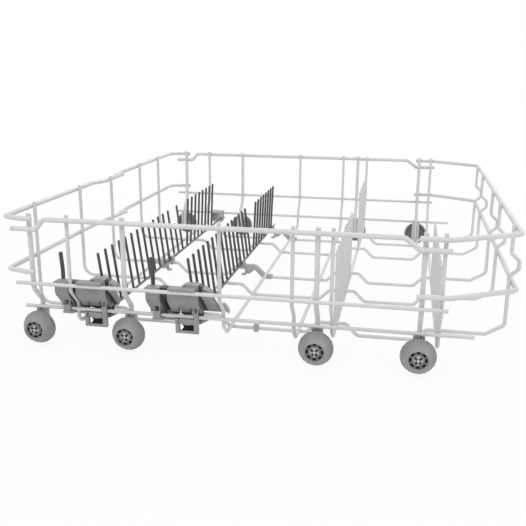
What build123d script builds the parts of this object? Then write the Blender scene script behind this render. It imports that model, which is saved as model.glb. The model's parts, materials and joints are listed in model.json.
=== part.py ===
import os
from math import cos, pi, radians, sin, tan
from build123d import *

# Driving dimensions in millimetres. X runs from the left wall to the right wall of the photo,
# Y from the near side to the far side, Z up from the plane on which the wheels stand.
LENGTH = 468.0          # outside of the left bail to outside of the kinks in the right wall
FRAME_D = 4.4           # wire of the top rails, bails and wheel wires
GRID_D = 3.4            # wire of the floor, side rails and lower rails
TINE_D = 2.6
ROD_D = 2.8             # rods on which the folding tines turn
WELD = 0.05             # coating left between two welded wires
RUN = 0.06              # radial clearance of everything that turns
SIDES = 8               # flats round a bent wire
BEND = 6.0              # bend radius of the small kinks
BEND_STEP = 24.0        # degrees turned by each straight step of a bend

WALL_Y = 250.0          # plane that the outside of every side-wall upright touches
WALL_STEP = 14.5        # inward step of the side walls above the wheels
STEP_TOP_Z = 55.5
TOP_Z = 123.0           # top rails and top bails
MID_Z = 73.0            # middle bails
SIDE_RAIL_Z = 61.8
LOWER_RAIL_Z = 34.7
TIP_RISE = 4.8          # uprights stand this far above the top rail
RAIL_DROP = 9.6         # top rails step down by this under the bail ends

FLOOR_Z = 13.0          # low stretches of the length wires
RAISE = 10.8            # height of their raised stretches
TROUGHS = ((-137.0, -65.5), (-41.0, 56.0), (82.5, 156.0))
LENGTH_Y = (-196.0, -92.0, -22.0, 98.0, 174.0)
LEFT_BEND = 12.0        # bend from the left wall into the floor
RIGHT_RUN = 16.5        # oblique bend from the floor into the right wall
RIGHT_RISE = 9.7
KINK_OUT = 7.3          # outward kink in the right wall
KINK_Z = (80.0, 101.0)
JOG_TOP = 8.0           # inward jog of the near left bails towards the third length wire
JOG_MID = 6.5
JOG_Y = -49.0

WHEEL_X = (-206.4, -116.6, 59.5, 149.1)
CROSS_X = (-169.5, -27.2, 38.0, 72.6, 165.4)
CROSS_OVER = (False, True, True, False, False)
CROSS_RUN = (5.5, 13.0, 13.0, 12.0, 5.5)
CROSS_RISE = (5.0, 10.0, 10.0, 9.0, 5.0)

WHEEL_D = 31.6
WHEEL_W = 17.3
WHEEL_SIDES = 20        # flats round a wheel
AXLE_R = 3.0

RACK_X = (-146.3, -57.3)
RACK_Z = 28.5
ROD_END_Y = 231.0       # ends of the rods in the side bearings
NEAR_PITCH = 17.4
NEAR_TINE_Y = -219.0
NEAR_TINE_COUNT = 12
FAR_PITCH = 17.6
FAR_TINE_Y = -8.5
FAR_TINE_COUNT = 11
SHORT_TINE = 57.7       # tip distance from the rod axis
LONG_TINE = 63.0
STUB_TINE = 38.0        # second tine of the far half of the first row
SHORT_LEAN = -7.5       # degrees, to the left
LONG_LEAN = 2.5

FIXED_PITCH = 17.4
FIXED_TOP = (98.0, 89.0)
FIXED_NEAR_Y = -204.5
FIXED_NEAR_COUNT = 11
FIXED_FAR_Y = 114.0
FIXED_FAR_COUNT = 6

LEVER_TOP_Z = 89.0
LEVER_D = 3.6

HIGH_Z = FLOOR_Z + RAISE
TIP_Z = TOP_Z + TIP_RISE
STEP_LOW_Z = STEP_TOP_Z - WALL_STEP
HALF = GRID_D / 2
THICK = FRAME_D / 2
JOIN = THICK + HALF + WELD
LEFT_X = -LENGTH / 2 + THICK
KINK_X = LENGTH / 2 - HALF
RIGHT_X = KINK_X - KINK_OUT
BAIL_Y = WALL_Y + WELD + THICK
SIDE_RAIL_Y = WALL_Y + WELD + HALF
LOWER_RAIL_Y = SIDE_RAIL_Y - WALL_STEP
WHEEL_Y = WALL_Y - WALL_STEP + 1.7
WHEEL_R = WHEEL_D / 2
ROD_R = ROD_D / 2
X_AXIS = Vector(1, 0, 0)
Y_AXIS = Vector(0, 1, 0)
Z_AXIS = Vector(0, 0, 1)

parts = {}


def octagon(diameter):
    return RegularPolygon(diameter / 2, SIDES, major_radius=False, rotation=180 / SIDES)


def bent(points, bends):
    """Corners of a route whose bends are short straight steps round the given radii."""
    corners = [Vector(*point) for point in points]
    route = [corners[0]]
    for k in range(1, len(corners) - 1):
        before = (corners[k] - corners[k - 1]).normalized()
        after = (corners[k + 1] - corners[k]).normalized()
        turn = radians(before.get_angle(after))
        steps = max(1, round(turn / radians(BEND_STEP)))
        radius = bends[k - 1] if isinstance(bends, (list, tuple)) else bends
        start = corners[k] - before * (radius * tan(turn / 2))
        inward = (after - before * cos(turn)).normalized()
        for j in range(steps):
            angle = (j + 0.5) * turn / steps
            reach = radius / cos(turn / steps / 2)
            route.append(start + inward * (radius - reach * cos(angle)) + before * (reach * sin(angle)))
    route.append(corners[-1])
    return route


def swept(section, route, square_to):
    path = Polyline(*route)
    start = Plane(route[0], x_dir=square_to, z_dir=route[1] - route[0])
    return sweep(start * section, path=path, transition=Transition.RIGHT)


def wire(points, diameter, square_to, bends=BEND, tips=()):
    """Bent wire through the points, with rounded tips at the named ends."""
    route = bent(points, bends)
    body = swept(octagon(diameter), route, square_to)
    for end in tips:
        cap = min(body.faces(), key=lambda face: (face.center() - route[end]).length)
        body = chamfer(cap.edges(), length=diameter * 0.24)
    return body


def box(x0, x1, y0, y1, z0, z1):
    return Pos((x0 + x1) / 2, (y0 + y1) / 2, (z0 + z1) / 2) * Box(x1 - x0, y1 - y0, z1 - z0)


def far(shape):
    return mirror(shape, about=Plane.XZ)


def group(solids):
    return Compound(children=list(solids))


def along_y(x, z, y0, y1, radius):
    return Plane((x, y0, z), x_dir=X_AXIS, z_dir=Y_AXIS) * Cylinder(
        radius, y1 - y0, align=(Align.CENTER, Align.CENTER, Align.MIN))


# Side walls: uprights with the step above the wheels, and the rails welded outside them.
def wall_points(x, radius, low_z):
    upper = -(WALL_Y - radius)
    lower = upper + WALL_STEP
    return [(x, upper, TIP_Z), (x, upper, STEP_TOP_Z), (x, lower, STEP_LOW_Z), (x, lower, low_z)]


def top_rail():
    low = TOP_Z - RAIL_DROP
    points = [(-222.5, -BAIL_Y, low), (-198.0, -BAIL_Y, low), (-190.0, -BAIL_Y, TOP_Z),
              (132.0, -BAIL_Y, TOP_Z), (144.5, -BAIL_Y, low), (171.0, -BAIL_Y, low)]
    return wire(points, FRAME_D, Y_AXIS)


def straight_rail(x0, x1, y, z):
    return wire([(x0, y, z), (x1, y, z)], GRID_D, Y_AXIS)


for side, name in ((1, "near"), (-1, "far")):
    place = (lambda shape: shape) if side == 1 else far
    parts[name + "_top_rail"] = place(top_rail())
    parts[name + "_side_rail"] = place(straight_rail(-221.5, 171.0, -SIDE_RAIL_Y, SIDE_RAIL_Z))
    parts[name + "_lower_rail"] = place(straight_rail(-221.5, 195.3, -LOWER_RAIL_Y, LOWER_RAIL_Z))
    for index, x in enumerate(WHEEL_X):
        upright = wire(wall_points(x, THICK, WHEEL_R - 3.0), FRAME_D, X_AXIS, 8.0, (0,))
        parts[name + "_wheel_wire_%d" % (index + 1)] = place(upright)


# Bails: the left ones are two pieces lapped beside the third length wire.
def left_bail(z, jog, jog_run, near_end, lap):
    corner = [(-202.0, -BAIL_Y, z), (-210.5, -BAIL_Y, z), (LEFT_X, -BAIL_Y + 6.0, z)]
    near = corner + [(LEFT_X, JOG_Y, z), (LEFT_X + jog, JOG_Y + jog_run, z), (LEFT_X + jog, near_end, z)]
    side = jog - FRAME_D - WELD
    back = [(x, -y, z) for x, y, z in corner]
    back += [(LEFT_X, near_end + 14.0, z), (LEFT_X + side, near_end + 4.0, z),
             (LEFT_X + side, near_end - lap, z)]
    bends = [6.0, 8.0, 12.0, 12.0]
    return wire(near, FRAME_D, Z_AXIS, bends), wire(back, FRAME_D, Z_AXIS, bends)


def right_bail(z):
    wall = RIGHT_X + JOIN
    half = [(144.0, -BAIL_Y, z), (170.0, -BAIL_Y, z), (wall, -217.0, z)]
    points = half + [(x, -y, z) for x, y, z in reversed(half)]
    return wire(points, FRAME_D, Z_AXIS, [12.0, 10.0, 10.0, 12.0])


top_pair = left_bail(TOP_Z, JOG_TOP, 17.0, 27.0, 12.0)
middle_pair = left_bail(MID_Z, JOG_MID, 74.0, 36.0, 9.0)
parts["left_top_bail_near"], parts["left_top_bail_far"] = top_pair
parts["left_middle_bail_near"], parts["left_middle_bail_far"] = middle_pair
parts["right_top_bail"] = right_bail(TOP_Z)
parts["right_middle_bail"] = right_bail(MID_Z)


# Length wires: left wall, raised and low stretches of the floor, right wall with its kink.
def left_riser(y):
    jog = JOG_TOP if JOG_Y < y < 0 else 0.0
    return LEFT_X + jog + JOIN


def floor_points(y):
    points = []
    for start, stop in TROUGHS:
        points += [(start, y, HIGH_Z), (start + RAISE, y, FLOOR_Z),
                   (stop - RAISE, y, FLOOR_Z), (stop, y, HIGH_Z)]
    return points


def length_wire(y):
    riser = left_riser(y)
    points = [(riser, y, TIP_Z), (riser, y, HIGH_Z)] + floor_points(y)
    points += [(RIGHT_X - RIGHT_RUN, y, HIGH_Z), (RIGHT_X, y, HIGH_Z + RIGHT_RISE),
               (RIGHT_X, y, KINK_Z[0]), (KINK_X, y, KINK_Z[0] + 6.5),
               (KINK_X, y, KINK_Z[1] - 7.0), (RIGHT_X, y, KINK_Z[1]), (RIGHT_X, y, TIP_Z)]
    bends = [LEFT_BEND] + [BEND] * 14 + [4.0] * 4
    return wire(points, GRID_D, Y_AXIS, bends, (0, -1))


for index, y in enumerate(LENGTH_Y):
    parts["length_wire_%d" % (index + 1)] = length_wire(y)


# Cross wires: two wall ends and a floor run, over the low or under the raised stretches.
def cross_level(over):
    return FLOOR_Z + GRID_D + WELD if over else HIGH_Z - GRID_D - WELD


def cross_wire(x, over, run, rise):
    z = cross_level(over)
    half = wall_points(x, HALF, z + rise)
    half.append((x, half[-1][1] + run, z))
    points = half + [(px, -py, pz) for px, py, pz in reversed(half)]
    tight = min(BEND, rise)
    bends = [BEND, BEND, tight, tight, tight, tight, BEND, BEND]
    return wire(points, GRID_D, X_AXIS, bends, (0, -1))


for index, size in enumerate(zip(CROSS_X, CROSS_OVER, CROSS_RUN, CROSS_RISE)):
    parts["cross_wire_%d" % (index + 1)] = cross_wire(*size)


# Tines: straight, with a rounded tip, made upright from z = 0.
def tine(length):
    body = extrude(octagon(TINE_D), amount=length)
    return chamfer(body.faces().sort_by(Axis.Z)[-1].edges(), length=TINE_D * 0.3)


def fixed_row(x, top, starts):
    foot = cross_level(False) + HALF + WELD
    stem = tine(top - foot)
    return [Pos(x, first + k * FIXED_PITCH, foot) * stem for first, count in starts for k in range(count)]


NEAR_ROW = (FIXED_NEAR_Y, FIXED_NEAR_COUNT)
FAR_ROW = (FIXED_FAR_Y, FIXED_FAR_COUNT)
parts["fixed_tines_3"] = group(fixed_row(CROSS_X[3], FIXED_TOP[0], (NEAR_ROW, FAR_ROW)))
parts["fixed_tines_4"] = group(fixed_row(CROSS_X[4], FIXED_TOP[1], (NEAR_ROW,)))


# Folding racks: tines welded on a rod.
def rack_tine(x, y, length, lean):
    foot = ROD_R + WELD
    return Pos(x, y, RACK_Z) * Rot(0, lean, 0) * Pos(0, 0, foot) * tine(length - foot)


MIDDLE_Y = LENGTH_Y[2]
for row, x in enumerate(RACK_X):
    label = "rack_%d" % (row + 1)
    far_end = ROD_END_Y if row == 0 else LENGTH_Y[4] + 4.5
    rod = along_y(x, RACK_Z, -ROD_END_Y, MIDDLE_Y - 0.2, ROD_R)
    parts[label + "_near_rods"] = rod
    parts[label + "_far_rod"] = along_y(x, RACK_Z, MIDDLE_Y + 0.2, far_end, ROD_R)
    near_tines = []
    for k in range(NEAR_TINE_COUNT):
        near_tines.append(rack_tine(x, NEAR_TINE_Y + k * NEAR_PITCH, SHORT_TINE, SHORT_LEAN))
    parts[label + "_near_tines"] = group(near_tines)
    far_tines = []
    for k in range(FAR_TINE_COUNT):
        length, lean = (SHORT_TINE, SHORT_LEAN) if k < 3 else (LONG_TINE, LONG_LEAN)
        if row == 0 and k == 1:
            length = STUB_TINE
        far_tines.append(rack_tine(x, FAR_TINE_Y + k * FAR_PITCH, length, lean))
    parts[label + "_far_tines"] = group(far_tines)


# Rod arms: channels clipped over a length wire, with an open eye for the rod.
def arm_channel(points):
    route = bent(points, BEND)
    wide = HALF + WELD
    start = Plane(route[0], x_dir=Y_AXIS, z_dir=route[1] - route[0])
    up = -1 if start.y_dir.Z < 0 else 1
    outer = Pos(0, up * 0.8) * Rectangle(7.0, 4.8)
    inner = Pos(0, up * (wide - 2.0)) * Rectangle(2 * wide, 4.0)
    return swept(outer, route, Y_AXIS) - swept(inner, route, Y_AXIS)


def side_face(y, points):
    return Plane((0, y, 0), x_dir=X_AXIS, z_dir=-Y_AXIS) * make_face(Polyline(*points, close=True))


def arm_eye(x, y, way):
    """Fork for the rod, with a deep belly below the wire and a hook; way is the side of the belly."""
    z = RACK_Z
    block = box(x - 3.8, x + 3.8, y - 3.5, y + 3.5, HIGH_Z + HALF + WELD, z)
    ring = Plane((x, y - 3.5, z), x_dir=X_AXIS, z_dir=Y_AXIS) * extrude(octagon(7.6), amount=7.0)
    prong = [(1.2, 1.6), (3.4, 1.6), (5.2, 6.4), (3.9, 7.0)]
    body = block + ring
    for side in (-1, 1):
        face = side_face(y - 1.8, [(x + side * px, z + pz) for px, pz in prong])
        body += extrude(face, amount=-3.6 if face.faces()[0].normal_at().Y < 0 else 3.6)
    low = HIGH_Z - HALF + 0.4
    belly = [(3.6, low), (4.6, low - 5.4), (9.6, low - 6.2), (14.0, low - 2.6), (16.0, low)]
    face = side_face(y - 3.5, [(x + way * px, pz) for px, pz in belly])
    body += extrude(face, amount=-7.0 if face.faces()[0].normal_at().Y < 0 else 7.0)
    hook = [(6.4, low - 5.2), (5.2, low - 8.0), (2.2, low - 9.2), (-0.6, low - 8.2),
            (-0.2, low - 6.6), (2.4, low - 6.8), (4.2, low - 4.0)]
    face = side_face(y - 1.8, [(x + way * px, pz) for px, pz in hook])
    body += extrude(face, amount=-3.6 if face.faces()[0].normal_at().Y < 0 else 3.6)
    wide = HALF + WELD
    body -= box(x - 20, x + 20, y - wide, y + wide, HIGH_Z - wide, HIGH_Z + wide)
    body -= box(x - 20, x + 20, y - 1.2, y + 1.2, HIGH_Z - 7.0, HIGH_Z)
    mouth = box(x - 1.1, x + 1.1, y - 4, y + 4, z, z + 9)
    return body, along_y(x, z, y - 4, y + 4, ROD_R + RUN) + mouth


def long_arm(x, y):
    cross = CROSS_X[1]
    end_x = TROUGHS[1][0]
    points = [(x - 3.8, y, HIGH_Z), (end_x, y, HIGH_Z), (end_x + RAISE, y, FLOOR_Z),
              (cross + 7.0, y, FLOOR_Z)]
    eye, bore = arm_eye(x, y, 1)
    gap = HALF + 0.4
    room = box(cross - gap, cross + gap, y - 4, y + 4, FLOOR_Z + HALF - WELD, HIGH_Z + 8)
    return arm_channel(points) + eye - bore - room


def short_arm(x, y):
    points = [(x - 21.0, y, HIGH_Z), (x + 3.8, y, HIGH_Z)]
    eye, bore = arm_eye(x, y, -1)
    return arm_channel(points) + eye - bore


parts["rack_1_middle_arm"] = short_arm(RACK_X[0], MIDDLE_Y)
parts["rack_2_middle_arm"] = long_arm(RACK_X[1], MIDDLE_Y)
parts["rack_2_far_arm"] = long_arm(RACK_X[1], LENGTH_Y[4])


# Far bearing of the first row, hooked on the far lower rail.
def rail_room(x0, x1, side):
    wide = HALF + WELD
    y = side * LOWER_RAIL_Y
    hole = box(x0, x1, y - wide, y + wide, LOWER_RAIL_Z - wide, LOWER_RAIL_Z + wide)
    return hole + box(x0, x1, y - 1.3, y + 1.3, LOWER_RAIL_Z - 9, LOWER_RAIL_Z)


def far_bearing(x):
    back = LOWER_RAIL_Y + 3.4
    front = ROD_END_Y - 5.0
    block = box(x - 16.0, x + 1.0, front, back, RACK_Z - 6.0, LOWER_RAIL_Z + 3.6)
    block -= box(x - 13.5, x - 5.0, front - 1.0, ROD_END_Y, RACK_Z - 3.5, LOWER_RAIL_Z + 1.0)
    boss = along_y(x, RACK_Z, front, ROD_END_Y + 1.4, 4.2)
    bore = along_y(x, RACK_Z, front - 1.0, ROD_END_Y + 0.4, ROD_R + RUN)
    return block + boss - bore - rail_room(x - 17, x + 6, 1)


parts["rack_1_far_bearing"] = far_bearing(RACK_X[0])


# Near bearings: an apron inside the side wall, with a top plate, hump, straps and latch frame.
# All x values of a bearing count from its rod axis.
SHELL_TOP = 63.4
SHELL_LOW = 26.0
SHELL_DEPTH = 9.5
SHELL_Y = -(WALL_Y - GRID_D) + 0.3
SHELL_LOW_Y = SHELL_Y + WALL_STEP
SHELL_WALL = 2.2
PANEL_LIFT = -4.5       # slope of the panels below the step of the side wall
PANEL_RUN = 13.0
PANEL_LOW = 35.6
FLOOR_LIFT = 1.4        # slope of the grooves and of the right panel, inside the wall wires
FLOOR_RUN = 19.0
PANEL_LEFT = -40.2
PANEL_RIGHT = 14.0
GROOVES = ((-27.0, -19.4), (9.6, PANEL_RIGHT))
RAISED = (-1.0, 9.6)    # part of the middle panel that stands proud
LEDGE = (-15.6, 8.2)    # hook over the side rail
STRAP_Y = -LOWER_RAIL_Y - HALF - 0.15
STRAP = 1.9
STRAP_RIB = 1.0         # left beside the hole in each strap
STRAPS = ((-35.0, -28.4), (3.6, 7.8))
FOOT_Z = LOWER_RAIL_Z - HALF - 0.1
LATCH_LEFT = -13.9
LATCH_LOW = 19.4
LATCH_DEPTH = 3.6
PIVOT_DROP = 6.4        # lever pin below the top of the shell
LEVER_X = -36.5         # lever from the rod axis
LEVER_IN = 11.6         # lever behind the front of the shell
HUMP = ((-9.0, 0.0), (-6.2, 2.6), (-2.9, 4.5), (2.0, 4.9), (7.3, 4.9),
        (13.5, 2.9), (19.6, -0.4), (21.5, -3.0))


def upright_prism(x, points, y0, y1):
    """Prism along Y over an outline of x, from the rod axis, and z."""
    face = make_face(Polyline(*[(x + px, pz) for px, pz in points], close=True))
    placed = Plane((0, y0, 0), x_dir=X_AXIS, z_dir=-Y_AXIS) * face
    return extrude(placed, amount=y1 - y0, dir=Y_AXIS)


def shell(x0, x1, depth, lift, thickness=SHELL_WALL, run=PANEL_RUN, low=PANEL_LOW):
    """Stretch of the apron: upright, slope along the step of the wall, upright again."""
    sides = []
    for inset in (depth, depth + thickness):
        top = STEP_TOP_Z + lift + (inset - depth) * 0.41
        route = bent([(x0, SHELL_Y + inset, SHELL_TOP - 1.0), (x0, SHELL_Y + inset, top),
                      (x0, SHELL_Y + inset + run, top - run), (x0, SHELL_Y + inset + run, low)], [8.0, 5.0])
        sides.append(route)
    face = make_face(Polyline(*sides[0], *reversed(sides[1]), close=True))
    return extrude(face, amount=x1 - x0, dir=X_AXIS)


def inner_shell(x0, x1, depth, lift):
    return shell(x0, x1, depth, lift, SHELL_WALL, FLOOR_RUN, SHELL_LOW)


def apron(x, wide):
    """Two bulging panels, the grooves between them with their side walls, and the flat right panel."""
    body = inner_shell(x + PANEL_LEFT, x + PANEL_RIGHT, 2.0, FLOOR_LIFT)
    edges = [PANEL_LEFT] + [edge for groove in GROOVES for edge in groove]
    for x0, x1 in zip(edges[::2], edges[1::2]):
        body += shell(x + x0, x + x1, 0.0, PANEL_LIFT)
        for side in (x0, x1 - 1.5):
            body += shell(x + side, x + side + 1.5, 0.0, PANEL_LIFT, 6.4)
    body += shell(x + RAISED[0], x + RAISED[1], -0.6, PANEL_LIFT)
    inner = PANEL_RIGHT - 1.0
    deep = SHELL_Y + 35
    plate = inner_shell(x + inner, x + 28.0, 0.0, FLOOR_LIFT)
    if not wide:
        panel = [(inner, SHELL_TOP), (19.2, SHELL_TOP), (19.2, 45.5), (14.6, 37.8), (inner, 37.8)]
        return body + (plate & upright_prism(x, panel, SHELL_Y - 5, deep))
    panel = [(inner, SHELL_TOP), (24.0, SHELL_TOP), (24.0, 57.6), (26.6, 38.2), (inner, 38.2)]
    body += plate & upright_prism(x, panel, SHELL_Y - 5, deep)
    tail = [(20.0, 42.5), (20.0, 38.6), (30.4, 38.6), (33.0, 36.6), (33.9, 37.4), (34.0, 40.5),
            (33.4, 45.0), (32.4, 48.6), (31.2, 50.2), (29.6, 49.8), (28.6, 42.5)]
    slab = inner_shell(x + 19.0, x + 36.0, 1.0, FLOOR_LIFT + 1.2)
    return body + (slab & upright_prism(x, tail, SHELL_Y - 5, deep))


def hump(x):
    """Top plate with the hump over the rod, hollow below, cut through by the grooves."""
    back = SHELL_Y + SHELL_DEPTH
    crest = [(px, SHELL_TOP + pz) for px, pz in HUMP]
    body = box(x + PANEL_LEFT, x + HUMP[6][0], SHELL_Y, back, SHELL_TOP - SHELL_WALL, SHELL_TOP)
    body += box(x + PANEL_LEFT - 0.8, x + STRAPS[0][1], SHELL_Y - 1.4, back, SHELL_TOP - 2.0, SHELL_TOP - 0.5)
    outline = crest + [(HUMP[-1][0], SHELL_TOP - 6.0), (HUMP[0][0], SHELL_TOP - 2.0)]
    body += upright_prism(x, outline, SHELL_Y, back)
    hollow = [(px * 0.86 + 0.8, pz - 1.8) for px, pz in crest[1:7]]
    hollow += [(16.0, SHELL_TOP - 7.0), (-4.0, SHELL_TOP - 7.0)]
    body -= upright_prism(x, hollow, SHELL_Y + 2.4, back + 1)
    body -= upright_prism(x, [(-4.6, SHELL_TOP + 1.9), (-2.0, SHELL_TOP + 3.9), (-1.4, SHELL_TOP + 3.1),
                              (-3.0, SHELL_TOP + 1.5)], SHELL_Y - 1, back)
    body -= box(x + 15.0, x + 17.2, SHELL_Y - 1, back, SHELL_TOP - 0.6, SHELL_TOP + 0.4)
    for x0, x1 in GROOVES:
        body -= box(x + x0, x + x1, SHELL_Y - 1, SHELL_Y + 1.9, SHELL_TOP - 9, SHELL_TOP + 8)
    low = SIDE_RAIL_Z + HALF + WELD
    body += box(x + LEDGE[0], x + LEDGE[1], SHELL_Y - 7.3, SHELL_Y + 1.5, low, low + 2.4)
    return body + box(x + LEDGE[0], x + LEDGE[1], SHELL_Y, SHELL_Y + 1.5, SHELL_TOP - 1.0, low + 2.4)


def straps(x):
    """Straps in front of the lower rail; the right one is a post of the latch frame."""
    front = STRAP_Y - STRAP
    back = front + LATCH_DEPTH
    wall = SHELL_Y + FLOOR_RUN + 3.0
    left, right = STRAPS
    body = box(x + left[0], x + left[1], front, STRAP_Y, FOOT_Z - 2.2, 47.0)
    body += box(x + left[0] - 1.0, x + left[1] + 2.8, front, wall, FOOT_Z - 2.2, FOOT_Z)
    body += box(x + right[0], x + right[1], front, STRAP_Y, LATCH_LOW, 47.0)
    for x0, x1 in STRAPS:
        body -= box(x + x0 + STRAP_RIB, x + x1 - STRAP_RIB, front - 1, STRAP_Y + 1, 39.4, 44.2)
    body += box(x + right[0], x + right[1], front, back, LATCH_LOW, FOOT_Z)
    body += box(x + LATCH_LEFT, x + LATCH_LEFT + 3.6, front, back, LATCH_LOW, FOOT_Z - 2.0)
    body += box(x + LATCH_LEFT, x + right[1], front, back, LATCH_LOW, LATCH_LOW + 2.5)
    drum = [(-15.5, FOOT_Z), (-15.5, FOOT_Z - 1.2), (-12.0, 29.4), (-8.0, 27.9), (-3.0, 27.2),
            (right[0] + 1.0, 28.2), (right[0] + 1.0, FOOT_Z)]
    body += upright_prism(x, drum, front + 0.8, wall)
    cam = [(-10.4, 30.2), (-6.2, 25.4), (-9.2, 21.4), (right[0] + 1.0, 21.4), (right[0] + 1.0, 30.2)]
    return body + upright_prism(x, cam, front + 1.6, front + 6.0)


def lever_seat(x):
    """Shelf with two cheeks behind the top plate, and the pin bore through them."""
    pin_x = x + LEVER_X
    pin_z = SHELL_TOP - PIVOT_DROP
    lever_y = SHELL_Y + LEVER_IN
    front = SHELL_Y + 4.0
    left = x + PANEL_LEFT
    shelf = box(left, pin_x + 6.0, front, lever_y + 4.8, pin_z + 1.0, pin_z + 3.0)
    seat = shelf - box(pin_x - 2.9, pin_x + 2.9, lever_y - 3.3, lever_y + 3.3, pin_z, pin_z + 9)
    seat += box(left, pin_x + 6.0, front, front + 2.0, pin_z + 1.0, SHELL_TOP - 1.0)
    for y in (lever_y - 4.8, lever_y + 3.3):
        seat += box(left, pin_x + 4.0, y, y + 1.5, pin_z - 3.5, pin_z + 2.0)
    return seat, along_y(pin_x, pin_z, lever_y - 4.7, lever_y + 5, 1.5 + RUN)


def near_bearing(x, wide):
    seat, bore = lever_seat(x)
    body = apron(x, wide) + hump(x) + straps(x) + seat - bore
    behind = SHELL_Y + FLOOR_RUN + 6.0
    for slit, low in ((-11.9, 28.0), (-0.6, LOWER_RAIL_Z)):
        top = STEP_LOW_Z + 2.8
        body -= box(x + slit, x + slit + 1.4, SHELL_LOW_Y - 10, behind, low, top)
        body -= box(x + slit - 4.5, x + slit + 1.4, SHELL_LOW_Y + 2, behind, low - 3.0, top - 2.0)
    body -= box(x + STRAPS[1][1] + 0.8, x + PANEL_RIGHT + 2, SHELL_LOW_Y, behind, SHELL_LOW - 1, 37.4)
    fin = [(STRAPS[1][0], FOOT_Z), (16.2, FOOT_Z - 0.6), (15.4, FOOT_Z - 2.2), (7.6, 26.4),
           (STRAPS[1][0], 26.4)]
    body += upright_prism(x, fin, SHELL_LOW_Y - 1.0, SHELL_LOW_Y + 1.2)
    body += along_y(x, RACK_Z, SHELL_LOW_Y + 2.2, SHELL_LOW_Y + 8.4, 4.6)
    return body - along_y(x, RACK_Z, -ROD_END_Y - 0.4, behind, ROD_R + RUN)


# Release levers: bent rods on a pin between two cheeks of each near bearing.
def lever(x):
    y = SHELL_Y + LEVER_IN
    z = SHELL_TOP - PIVOT_DROP
    pin_x = x + LEVER_X
    points = [(pin_x, y, z), (pin_x, y, z + 15.0), (pin_x - 1.2, y, LEVER_TOP_Z)]
    rod = wire(points, LEVER_D, Y_AXIS, 20.0, (-1,))
    hub = Plane((pin_x, y - 2.9, z), x_dir=X_AXIS, z_dir=Y_AXIS) * extrude(octagon(4.4), amount=5.8)
    pin = extrude(RegularPolygon(1.5, 12), amount=9.0)
    return rod + hub + Plane((pin_x, y - 4.4, z), x_dir=X_AXIS, z_dir=Y_AXIS) * pin


for row, x in enumerate(RACK_X):
    parts["near_bearing_%d" % (row + 1)] = near_bearing(x, row == 1)
    parts["lever_%d" % (row + 1)] = lever(x)


# Small clip on the first length wire.
clip = box(-6.2, -1.8, LENGTH_Y[0] - 3.2, LENGTH_Y[0] + 3.2, FLOOR_Z - 3.0, FLOOR_Z + 5.0)
clip -= box(-7.0, -1.0, LENGTH_Y[0] - HALF - WELD, LENGTH_Y[0] + HALF + WELD,
            FLOOR_Z - HALF - WELD, FLOOR_Z + HALF + WELD)
clip -= box(-7.0, -1.0, LENGTH_Y[0] - 1.2, LENGTH_Y[0] + 1.2, FLOOR_Z - 4.0, FLOOR_Z)
parts["wire_clip"] = clip


# Wheels: domed hollow rollers with slots round the hub; local Z points outward.
def flat(points):
    return make_face(Polyline(*points, close=True)).face()


def ring_stack(levels, sides):
    """Solid through regular polygons of the given inner radii and heights."""
    rings = []
    for radius, z in levels:
        reach = radius / cos(pi / sides)
        turns = [2 * pi * (k + 0.5) / sides for k in range(sides)]
        rings.append([Vector(reach * cos(turn), reach * sin(turn), z) for turn in turns])
    faces = [flat(rings[0]), flat(rings[-1])]
    for low, high in zip(rings, rings[1:]):
        for k in range(sides):
            faces.append(flat([low[k - 1], low[k], high[k], high[k - 1]]))
    return Solid(Shell(faces))


def wheel():
    rim = WHEEL_R
    top = WHEEL_W
    outside = [(rim - 0.7, 3.6), (rim, 4.5), (rim, 6.4), (rim - 0.8, 8.9), (rim - 1.4, 9.1),
               (rim - 3.2, 13.2), (9.7, top)]
    inside = [(rim - 2.2, 2.0), (rim - 2.4, 6.4), (rim - 3.4, 8.6), (8.4, top - 7.2)]
    body = ring_stack(outside, WHEEL_SIDES) - ring_stack(inside, WHEEL_SIDES)
    body -= ring_stack([(8.2, top - 2.3), (8.6, top + 1)], WHEEL_SIDES)
    body += ring_stack([(5.2, 5.0), (5.2, top - 3)], SIDES)
    base = (Align.CENTER, Align.CENTER, Align.MIN)
    body -= Pos(0, 0, 4) * Cylinder(AXLE_R + RUN, top, align=base)
    for spot in PolarLocations(6.9, SIDES):
        body -= Pos(0, 0, top) * spot * Box(1.9, 3.3, 12)
    return body


# Axle brackets: tongue clipped on the wheel wire, axle with four snap claws.
def axle_bracket():
    deep = 6.0
    wire_z = -(1.7 + THICK)
    head = LOWER_RAIL_Z - HALF - WHEEL_R - 0.1
    outline = flat([(-5.2, head), (5.2, head), (5.2, -4), (3.4, -9.5), (-3.4, -9.5), (-5.2, -4)])
    tongue = Pos(0, 0, -deep) * extrude(outline, amount=deep - 0.5)
    room = THICK + WELD
    tongue -= Pos(0, 8.4, wire_z) * Box(2 * room, 22.9, 2 * room)
    tongue -= Pos(0, 8.4, wire_z - 3) * Box(3.4, 22.9, 6)
    tongue -= Pos(0, head, wire_z + 3) * Box(2 * room, 10.0, 6)
    for side in (-1, 1):
        tongue -= Pos(side * 3.8, head - 2.8, 0) * Box(1.2, 1.6, 4)
    base = (Align.CENTER, Align.CENTER, Align.MIN)
    shoulder = ring_stack([(4.6, -0.6), (4.6, 4.7)], SIDES)
    axle = Pos(0, 0, -0.6) * Cylinder(AXLE_R, WHEEL_W - 1.4, align=base)
    claws = ring_stack([(4.4, WHEEL_W - 2.0), (3.3, WHEEL_W - 0.4)], SIDES)
    body = tongue + shoulder + axle + claws
    for angle in (45, 135):
        body -= Rot(0, 0, angle) * Pos(0, 0, WHEEL_W) * Box(1.3, 12, 7)
    return body + ring_stack([(1.6, WHEEL_W - 4), (1.6, WHEEL_W - 0.8)], SIDES)


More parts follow.
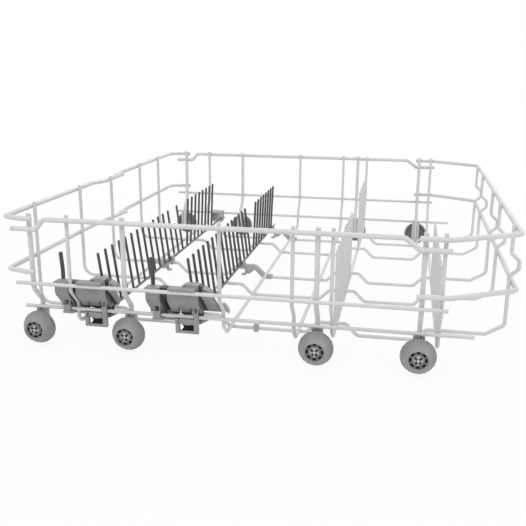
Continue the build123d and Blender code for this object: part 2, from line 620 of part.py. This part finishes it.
outward = Plane((0, -WHEEL_Y, WHEEL_R), x_dir=X_AXIS, z_dir=-Y_AXIS)
roller = outward * wheel()
bracket = outward * axle_bracket()
brackets = []
for index, x in enumerate(WHEEL_X):
    near_wheel = Pos(x, 0, 0) * roller
    near_bracket = Pos(x, 0, 0) * bracket
    parts["near_wheel_%d" % (index + 1)] = near_wheel
    parts["far_wheel_%d" % (index + 1)] = far(near_wheel)
    brackets += [near_bracket, far(near_bracket)]
parts["axle_brackets"] = group(brackets)

os.makedirs("parts", exist_ok=True)
for name, shape in parts.items():
    export_step(shape, os.path.join("parts", name + ".step"))
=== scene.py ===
import json
import math

import bpy
from mathutils import Matrix, Vector

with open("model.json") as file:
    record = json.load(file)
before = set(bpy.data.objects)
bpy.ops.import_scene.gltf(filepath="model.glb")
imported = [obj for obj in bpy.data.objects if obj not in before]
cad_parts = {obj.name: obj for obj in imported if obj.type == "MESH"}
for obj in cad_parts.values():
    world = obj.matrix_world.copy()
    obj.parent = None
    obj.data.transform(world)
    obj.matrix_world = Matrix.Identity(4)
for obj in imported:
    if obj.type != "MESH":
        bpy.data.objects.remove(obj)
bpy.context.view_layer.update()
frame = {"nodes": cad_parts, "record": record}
nodes = frame["nodes"]
record = frame["record"]
scene = bpy.context.scene
scene.view_settings.view_transform = "Standard"

MM = 0.001
WHITE = (1.0, 1.0, 1.0, 1.0)


def grey(level):
    return (level, level, level, 1.0)


# Tones of the plastic parts, and the painted shade put on them where shade would lie.
PLASTIC = {"light": grey(0.325), "dark": grey(0.29), "rough": 0.45, "edge_light": grey(0.41)}
ARM_PLASTIC = {"light": grey(0.44), "dark": grey(0.40), "rough": 0.45, "edge_light": grey(0.52)}
PALE_PLASTIC = {"light": grey(0.58), "dark": grey(0.53), "rough": 0.44, "edge_light": grey(0.64)}
LEVER_PLASTIC = {"light": grey(0.078), "dark": grey(0.066), "rough": 0.42, "edge_light": grey(0.12)}
# Painted shade for hollows and holes, and painted deep shade for the darkest slots and windows.
PAINTED_SHADE = grey(0.05)
PAINTED_DEEP_SHADE = grey(0.012)
# Painted shade on the floor of the hub recess.
HUB_RECESS_SHADE = grey(0.17)
# Painted shade on the wheel tread band.
TREAD_SHADE = grey(0.17)
LUG = grey(0.50)
CLAWS = grey(0.48)

# Places of the wheel axles and rack rods, from the joints of the part.
joint_at = {joint["name"]: joint["pos_m"] for joint in record["behaviour"]["joints"]}
AXLE_X = [joint_at["near_wheel_%d_spin" % number][0] for number in (1, 2, 3, 4)]
AXLE_Z = joint_at["near_wheel_1_spin"][2]
ROD_X = {row: joint_at["rack_%d_near_fold" % row][0] for row in (1, 2)}

# Places of a near bearing painted with shade, bounds in mm: x from the rod axis, y, z.
PAINTED_SHADE_SPOTS = (
    (-27.0, -19.4, -244.8, -200.0, 36.0, 70.0),     # left groove
    (9.6, 14.0, -244.8, -200.0, 36.0, 70.0),        # right groove
    (-34.2, -29.2, -239.0, -200.0, 38.0, 44.4),     # hole in the left strap
    (4.4, 7.0, -239.0, -200.0, 38.0, 44.4),         # hole in the right strap
    (-19.4, 9.6, -234.5, -222.0, 30.0, 37.4),       # wall behind the lower rail
)
# Window of the latch, painted with deep shade and given almost no gloss.
LATCH_SHADE_SPOT = (-10.3, 3.6, -239.7, -200.0, 21.9, 28.4)
LUG_SPOT = (27.2, 45.0, -260.0, -200.0, 30.0, 70.0)
# Faces turned to +x at the right panel's edge, painted with shade.
SHADED_SIDE_X = (23.6 * MM, 27.0 * MM)

# Rings of a wheel: radius as a share of its diameter, depth as a squared share of its width.
RECESS_RADIUS = (0.163, 0.265)
RECESS_DEPTH = (0.088, 0.114)
SLOT_RADIUS = (0.186, 0.251)
SLOT_DEPTH = (0.002, 0.095)
# Painted shade on the outer band of the wheel, growing towards the rim.
TREAD_RADIUS = (0.34, 0.50)
TREAD_SHADE_SHARE = 0.5

# Snap claws at the end of each axle.
CLAW_Y = 252.0 * MM
CLAW_RADIUS = (1.6 * MM, 5.0 * MM)
NOTCH_RADIUS = (1.5 * MM, 4.2 * MM)
NOTCH_HALF = 1.7 * MM

GLOSS = 0.45            # specular level of the plastic
LATCH_GLOSS = 0.08
SOFT = 0.1 * MM         # blur of a painted limit


class Nodes:
    """A node tree, with short calls to add and join nodes."""

    def __init__(self, tree):
        self.tree = tree

    def add(self, kind, **values):
        node = self.tree.nodes.new(kind)
        for key, value in values.items():
            setattr(node, key, value)
        return node

    def link(self, start, end):
        self.tree.links.new(start, end)

    def feed(self, socket, value):
        if isinstance(value, (int, float, tuple)):
            socket.default_value = value
        else:
            self.link(value, socket)

    def place(self, kind="Object"):
        return self.add("ShaderNodeTexCoord").outputs[kind]

    def normal(self):
        return self.add("ShaderNodeNewGeometry").outputs["Normal"]

    def axes(self, vector):
        node = self.add("ShaderNodeSeparateXYZ")
        self.link(vector, node.inputs[0])
        return [node.outputs[axis] for axis in "XYZ"]

    def noise(self, place, scale, detail=2.0, rough=0.5):
        node = self.add("ShaderNodeTexNoise")
        node.inputs["Scale"].default_value = scale
        node.inputs["Detail"].default_value = detail
        node.inputs["Roughness"].default_value = rough
        self.link(place, node.inputs["Vector"])
        return node.outputs["Fac"]

    def spread(self, value, low, high, from_low=0.3, from_high=0.7):
        node = self.add("ShaderNodeMapRange")
        numbers = {"From Min": from_low, "From Max": from_high, "To Min": low, "To Max": high}
        for key, number in numbers.items():
            node.inputs[key].default_value = number
        self.link(value, node.inputs["Value"])
        return node.outputs["Result"]

    def zone(self, value, bounds, blur=SOFT):
        """1 where the value lies between the two bounds."""
        low, high = bounds
        rising = self.spread(value, 0.0, 1.0, low - blur, low + blur)
        falling = self.spread(value, 1.0, 0.0, high - blur, high + blur)
        return self.math("MULTIPLY", rising, falling)

    def math(self, operation, first, second=0.0):
        node = self.add("ShaderNodeMath", operation=operation)
        self.feed(node.inputs[0], first)
        self.feed(node.inputs[1], second)
        return node.outputs["Value"]

    def square(self, value):
        return self.math("MULTIPLY", value, value)

    def mix(self, share, first, second):
        node = self.add("ShaderNodeMix", data_type="RGBA")
        for socket, value in ((node.inputs[0], share), (node.inputs[6], first), (node.inputs[7], second)):
            self.feed(socket, value)
        return node.outputs[2]

    def blend(self, share, first, second):
        """Mix of two shaders."""
        node = self.add("ShaderNodeMixShader")
        for socket, value in zip(node.inputs, (share, first, second)):
            self.link(value, socket)
        return node.outputs[0]

    def bump(self, height, distance, strength, normal=None):
        node = self.add("ShaderNodeBump")
        node.inputs["Distance"].default_value = distance
        node.inputs["Strength"].default_value = strength
        self.link(height, node.inputs["Height"])
        if normal is not None:
            self.link(normal, node.inputs["Normal"])
        return node.outputs["Normal"]

    def edge(self, radius):
        """1 along convex and concave edges, 0 on flat stretches."""
        bevel = self.add("ShaderNodeBevel", samples=4)
        bevel.inputs["Radius"].default_value = radius
        dot = self.add("ShaderNodeVectorMath", operation="DOT_PRODUCT")
        self.link(bevel.outputs["Normal"], dot.inputs[0])
        self.link(self.normal(), dot.inputs[1])
        return self.spread(dot.outputs["Value"], 1.0, 0.0, 0.8, 0.985)

    def seen(self):
        """1 for the rays that show the surroundings: those of the camera, of mirrors and of glass."""
        path = self.add("ShaderNodeLightPath")
        share = path.outputs["Is Camera Ray"]
        for kind in ("Is Glossy Ray", "Is Transmission Ray"):
            share = self.math("MAXIMUM", share, path.outputs[kind])
        return share


class Material(Nodes):
    """A new material's node tree, with the inputs of its main shader."""

    def __init__(self, name):
        self.material = bpy.data.materials.new(name)
        self.material.use_nodes = True
        super().__init__(self.material.node_tree)
        self.shader = self.tree.nodes["Principled BSDF"]
        self.sockets = self.shader.inputs
        self.output = self.tree.nodes["Material Output"]


def coated(name, light, dark, rough):
    """Nylon coat on wire: faint cloudiness, a fine orange-peel skin and a soft gloss."""
    m = Material(name)
    place = m.place()
    cloud = m.spread(m.noise(place, scale=55.0, detail=3.0), 0.0, 1.0)
    m.link(m.mix(cloud, dark, light), m.sockets["Base Color"])
    m.link(m.spread(m.noise(place, scale=260.0), rough - 0.06, rough + 0.08), m.sockets["Roughness"])
    skin = m.bump(m.noise(place, scale=420.0), distance=0.12 * MM, strength=0.30)
    fine = m.bump(m.noise(place, scale=1900.0), distance=0.03 * MM, strength=0.25, normal=skin)
    m.link(fine, m.sockets["Normal"])
    m.sockets["Specular IOR Level"].default_value = 0.5
    m.sockets["Coat Weight"].default_value = 0.12
    m.sockets["Coat Roughness"].default_value = 0.22
    return m


def moulded(name, light, dark, rough, edge_light):
    """Moulded plastic: spark-eroded grain, faint flow clouds and paler worn edges."""
    m = Material(name)
    place = m.place()
    cloud = m.spread(m.noise(place, scale=90.0, detail=3.0), 0.0, 1.0)
    colour = m.mix(cloud, dark, light)
    scuffs = m.spread(m.noise(place, scale=700.0), 0.25, 0.7)
    m.colour = m.mix(m.math("MULTIPLY", m.edge(0.5 * MM), scuffs), colour, edge_light)
    m.link(m.colour, m.sockets["Base Color"])
    m.link(m.spread(m.noise(place, scale=340.0), rough - 0.07, rough + 0.08), m.sockets["Roughness"])
    grain = m.bump(m.noise(place, scale=2600.0, detail=3.0, rough=0.6), distance=0.05 * MM, strength=0.35)
    waves = m.bump(m.noise(place, scale=240.0), distance=0.10 * MM, strength=0.15, normal=grain)
    m.link(waves, m.sockets["Normal"])
    m.sockets["Specular IOR Level"].default_value = GLOSS
    return m


def bearing_plastic(name, rod_x):
    """Moulded plastic with painted shade on the groove floors, strap holes, lower wall and right side
    face, painted deep shade in the latch window, and a paler lug.
    """
    m = moulded(name, **PLASTIC)
    x, y, z = m.axes(m.place())
    across = m.math("SUBTRACT", x, rod_x)

    def spot(x0, x1, y0, y1, z0, z1):
        flat = m.math("MULTIPLY", m.zone(across, (x0 * MM, x1 * MM)), m.zone(z, (z0 * MM, z1 * MM)))
        return m.math("MULTIPLY", flat, m.zone(y, (y0 * MM, y1 * MM)))

    # Painted shade on the faces turned to +x at the right panel's edge.
    right_side = m.spread(m.axes(m.normal())[0], 0.0, 0.8, 0.5, 0.8)
    dark = m.math("MULTIPLY", right_side, m.zone(across, SHADED_SIDE_X))
    for bounds in PAINTED_SHADE_SPOTS:
        dark = m.math("MAXIMUM", dark, spot(*bounds))
    # Painted deep shade in the latch window, with its gloss cut down.
    latch = spot(*LATCH_SHADE_SPOT)
    colour = m.mix(latch, m.mix(dark, m.colour, PAINTED_SHADE), PAINTED_DEEP_SHADE)
    m.link(m.mix(spot(*LUG_SPOT), colour, LUG), m.sockets["Base Color"])
    m.link(m.spread(latch, GLOSS, LATCH_GLOSS, 0.0, 1.0), m.sockets["Specular IOR Level"])
    return m


def hub_plastic(name):
    """Wheel plastic with painted shade on the tread band and in the recess round the hub, and painted
    deep shade in its slots.
    """
    m = moulded(name, **PLASTIC)
    offsets = [m.math("SUBTRACT", value, 0.5) for value in m.axes(m.place("Generated"))]
    x2, y2, z2 = [m.square(offset) for offset in offsets]
    radius = m.math("SQRT", m.math("ADD", x2, z2))
    # Painted shade on the floor of the recess round the hub.
    recess = m.math("MULTIPLY", m.zone(radius, RECESS_RADIUS, 0.003), m.zone(y2, RECESS_DEPTH, 0.004))
    # Painted deep shade on the walls of the slots through the web.
    slots = m.math("MULTIPLY", m.zone(radius, SLOT_RADIUS, 0.002), m.zone(y2, SLOT_DEPTH, 0.001))
    # Painted shade on the tread band, darker towards the rim.
    colour = m.mix(m.spread(radius, 0.0, TREAD_SHADE_SHARE, *TREAD_RADIUS), m.colour, TREAD_SHADE)
    colour = m.mix(recess, colour, HUB_RECESS_SHADE)
    m.link(m.mix(slots, colour, PAINTED_DEEP_SHADE), m.sockets["Base Color"])
    return m


def claw_plastic(name):
    """Pale bracket plastic; the snap claws are duller, with painted deep shade in and round the notches
    at the pin.
    """
    m = moulded(name, **PALE_PLASTIC)
    x, y, z = m.axes(m.place())
    rise = m.math("SUBTRACT", z, AXLE_Z)
    offsets = [m.math("ABSOLUTE", m.math("SUBTRACT", x, axle_x)) for axle_x in AXLE_X]
    aside = offsets[0]
    for offset in offsets[1:]:
        aside = m.math("MINIMUM", aside, offset)
    radius = m.math("SQRT", m.math("ADD", m.square(aside), m.square(rise)))
    tip = m.spread(m.math("ABSOLUTE", y), 0.0, 1.0, CLAW_Y - SOFT, CLAW_Y + SOFT)
    claws = m.math("MULTIPLY", tip, m.zone(radius, CLAW_RADIUS))
    slant = m.math("SUBTRACT", aside, m.math("ABSOLUTE", rise))
    # Painted deep shade along the four diagonal notches round the pin.
    notch = m.math("MULTIPLY", m.zone(slant, (-NOTCH_HALF, NOTCH_HALF)), m.zone(radius, NOTCH_RADIUS))
    colour = m.mix(claws, m.colour, CLAWS)
    m.link(m.mix(m.math("MULTIPLY", tip, notch), colour, PAINTED_DEEP_SHADE), m.sockets["Base Color"])
    return m


wire_finishes = {
    "coated_wire": coated("wire_coat", grey(0.69), grey(0.65), rough=0.38),
    "tine_coat": coated("tine_coat", grey(0.074), grey(0.060), rough=0.36),
    "rod_coat": coated("rod_coat", grey(0.13), grey(0.11), rough=0.36),
}
plastic_finishes = {
    "grey_plastic": moulded("grey_plastic", **ARM_PLASTIC),
    "pale_plastic": claw_plastic("pale_plastic"),
    "wheel_plastic": hub_plastic("wheel_plastic"),
    "lever_plastic": moulded("lever_plastic", **LEVER_PLASTIC),
}
bearing_finishes = {"near_bearing_%d" % row: bearing_plastic("bearing_plastic_%d" % row, ROD_X[row])
                    for row in (1, 2)}


def smooth_group(limit):
    """Geometry nodes that shade smooth across every edge flatter than the limit."""
    group = bpy.data.node_groups.new("smooth_%d" % round(math.degrees(limit)), "GeometryNodeTree")
    for way in ("INPUT", "OUTPUT"):
        group.interface.new_socket("Geometry", in_out=way, socket_type="NodeSocketGeometry")
    start = group.nodes.new("NodeGroupInput")
    end = group.nodes.new("NodeGroupOutput")
    all_smooth = group.nodes.new("GeometryNodeSetShadeSmooth")
    sharp = group.nodes.new("GeometryNodeSetShadeSmooth")
    sharp.domain = "EDGE"
    sharp.inputs["Shade Smooth"].default_value = False
    angle = group.nodes.new("GeometryNodeInputMeshEdgeAngle")
    steep = group.nodes.new("FunctionNodeCompare")
    steep.operation = "GREATER_THAN"
    steep.inputs[1].default_value = limit
    links = group.links
    links.new(start.outputs[0], all_smooth.inputs["Geometry"])
    links.new(all_smooth.outputs[0], sharp.inputs["Geometry"])
    links.new(angle.outputs["Unsigned Angle"], steep.inputs[0])
    links.new(steep.outputs[0], sharp.inputs["Selection"])
    links.new(sharp.outputs[0], end.inputs[0])
    return group


def dress(node, finish, bevel, limit, group):
    """Material, rounded edges and smooth shading for one node of the part."""
    obj = nodes[node]
    obj.data.materials.clear()
    obj.data.materials.append(finish.material)
    weld = obj.modifiers.new("weld", "WELD")
    weld.merge_threshold = 0.002 * MM
    edge = obj.modifiers.new("edges", "BEVEL")
    edge.width = bevel
    edge.segments = 2
    edge.limit_method = "ANGLE"
    edge.angle_limit = math.radians(limit)
    edge.use_clamp_overlap = True
    edge.miter_outer = "MITER_ARC"
    shade = obj.modifiers.new("shade", "NODES")
    shade.node_group = group


round_shading = smooth_group(math.radians(50))
plain_shading = smooth_group(math.radians(32))
for part in record["subparts"]:
    node = part["node"]
    slot = part["material_slot"]
    if slot in wire_finishes:
        dress(node, wire_finishes[slot], 0.30 * MM, 40, round_shading)
    else:
        finish = bearing_finishes.get(node, plastic_finishes[slot])
        dress(node, finish, 0.22 * MM, 38, plain_shading)


# Floor: pale, keeps a faint shadow, and fades to plain white away from the part.
FLOOR_SIZE = 60.0
FLOOR_Z = -0.2 * MM
FLOOR_TONE = grey(0.86)
WHITE_NEAR = 0.92       # share of plain white below the part, which grows to 1 over the fade
FADE = (0.33, 0.9)

bpy.ops.mesh.primitive_plane_add(size=FLOOR_SIZE, location=(0, 0, FLOOR_Z))
floor = bpy.context.object
floor.name = "floor"
ground = Material("floor_paper")
ground.tree.nodes.remove(ground.shader)
paper = ground.add("ShaderNodeBsdfDiffuse")
paper.inputs["Color"].default_value = FLOOR_TONE
glow = ground.add("ShaderNodeEmission")
glow.inputs["Color"].default_value = WHITE
length = ground.add("ShaderNodeVectorMath", operation="LENGTH")
ground.link(ground.place(), length.inputs[0])
share = ground.spread(length.outputs["Value"], WHITE_NEAR, 1.0, *FADE)
white_share = ground.math("MULTIPLY", ground.seen(), share)
surface = ground.blend(white_share, paper.outputs[0], glow.outputs[0])
ground.link(surface, ground.output.inputs["Surface"])
floor.data.materials.append(ground.material)

# World: white to the camera and in reflections, a soft even light for everything else.
SOFT_LIGHT = 0.62

world = bpy.data.worlds.new("studio")
scene.world = world
world.use_nodes = True
sky = Nodes(world.node_tree)
back = sky.tree.nodes["Background"]
soft = sky.add("ShaderNodeBackground")
for light, strength in ((back, 1.0), (soft, SOFT_LIGHT)):
    light.inputs["Color"].default_value = WHITE
    light.inputs["Strength"].default_value = strength
surface = sky.blend(sky.seen(), soft.outputs[0], back.outputs[0])
sky.link(surface, sky.tree.nodes["World Output"].inputs["Surface"])

# Lamps: place, size in metres and power in watts.
LAMP_TARGET = Vector((0, 0, 0.05))
LAMPS = {
    "key": ((-0.9, -1.3, 1.9), 1.2, 15.0),
    "fill": ((1.5, -0.9, 1.3), 1.4, 9.0),
    "rim": ((0.2, 1.7, 1.6), 1.4, 9.0),
}
for name, (place, size, power) in LAMPS.items():
    data = bpy.data.lights.new(name, "AREA")
    data.size = size
    data.energy = power
    lamp = bpy.data.objects.new(name, data)
    scene.collection.objects.link(lamp)
    lamp.location = place
    lamp.rotation_mode = "QUATERNION"
    lamp.rotation_quaternion = (LAMP_TARGET - Vector(place)).to_track_quat("-Z", "Y")

# Camera, as fitted to the photo.
CAMERA_AT = (0.12811, -0.84775, 0.26137)
LENS = 49.888
YAW = 0.191141
PITCH = 0.268560
ROLL = 0.0072286

level = Vector((math.cos(YAW), math.sin(YAW), 0))
ahead = Vector((-math.sin(YAW) * math.cos(PITCH), math.cos(YAW) * math.cos(PITCH), -math.sin(PITCH)))
upright = level.cross(ahead)
right = math.cos(ROLL) * level + math.sin(ROLL) * upright
above = math.cos(ROLL) * upright - math.sin(ROLL) * level
data = bpy.data.cameras.new("camera")
data.sensor_width = 36.0
data.lens = LENS
data.clip_start = 0.05
data.clip_end = 100.0
camera = bpy.data.objects.new("camera", data)
scene.collection.objects.link(camera)
camera.matrix_world = Matrix.Translation(CAMERA_AT) @ Matrix((right, above, -ahead)).transposed().to_4x4()
scene.camera = camera
